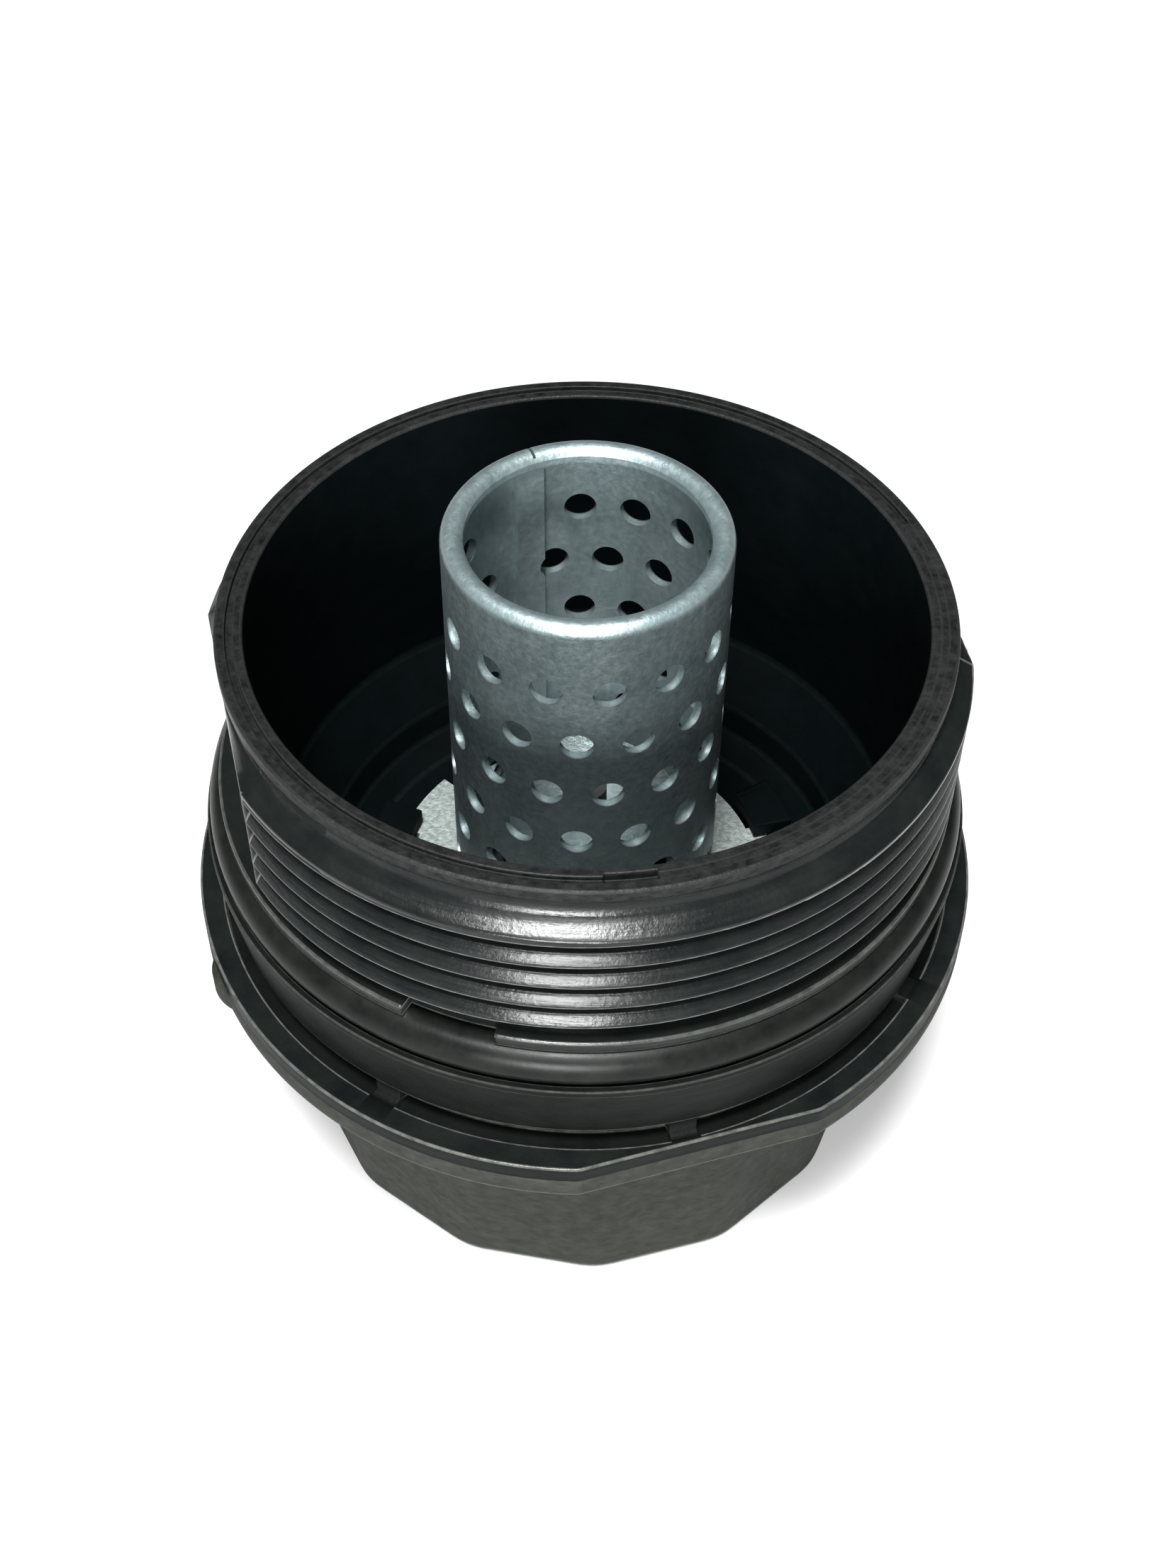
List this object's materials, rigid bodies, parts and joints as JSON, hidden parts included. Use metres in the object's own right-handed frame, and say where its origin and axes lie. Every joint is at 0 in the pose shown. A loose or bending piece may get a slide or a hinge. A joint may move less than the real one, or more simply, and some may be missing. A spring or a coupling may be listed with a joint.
{
  "type": "oil filter housing cap",
  "caption": "Threaded cup-shaped oil filter housing cap with a wrench end, a flange, a seal ring, a perforated centre tube, a spring-loaded drain valve and a drain plug.",
  "frame": {"origin": "centre of the wrench end's bottom face, on the thread axis", "axes": "+Z along the thread axis from the wrench end up through the open mouth; -Y is the front, where the seal groove's notch is; +X is to the right of the front"},
  "size_m": [0.0844, 0.0844, 0.0804],
  "materials": {
    "black_nylon": "satin moulded glass-filled nylon, black",
    "plug_nylon": "matt moulded nylon, black",
    "seal_rubber": "smooth black rubber",
    "tube_steel": "fine-grained zinc plated sheet steel",
    "foot_steel": "pale matt plated sheet steel"
  },
  "bodies": {
    "cap": {"cap_body": "black_nylon", "main_seal": "seal_rubber", "spring_bridge": "tube_steel", "valve_spring": "tube_steel"},
    "tube": {"centre_tube": "tube_steel", "tube_foot": "foot_steel"},
    "valve": {"drain_valve": "plug_nylon", "valve_seal": "seal_rubber"},
    "plug_ring": {"plug_seal": "seal_rubber"},
    "plug": {"drain_plug": "plug_nylon"}
  },
  "joints": [
    {"name": "tube_turn", "type": "hinge", "parent": "cap", "child": "tube", "pos_m": [0, 0, 0.03], "axis": [0, 0, 1], "range_deg": [-30, 7]},
    {"name": "valve_lift", "type": "slide", "parent": "cap", "child": "valve", "axis": [0, 0, 1], "range_m": [0, 0.004], "stiffness_N_per_m": 60, "springref_m": -0.004, "deforming": ["valve_spring"]},
    {"name": "plug_travel", "type": "slide", "parent": "cap", "child": "plug_ring", "axis": [0, 0, -1], "range_m": [0, 0.006]},
    {"name": "plug_turn", "type": "hinge", "parent": "plug_ring", "child": "plug", "pos_m": [0, 0, 0.0016], "axis": [0, 0, -1], "range_deg": [0, 1440]}
  ],
  "couplings": [
    {"joint": "plug_turn", "follows": "plug_travel", "rad_per_m": 4188.8}
  ]
}
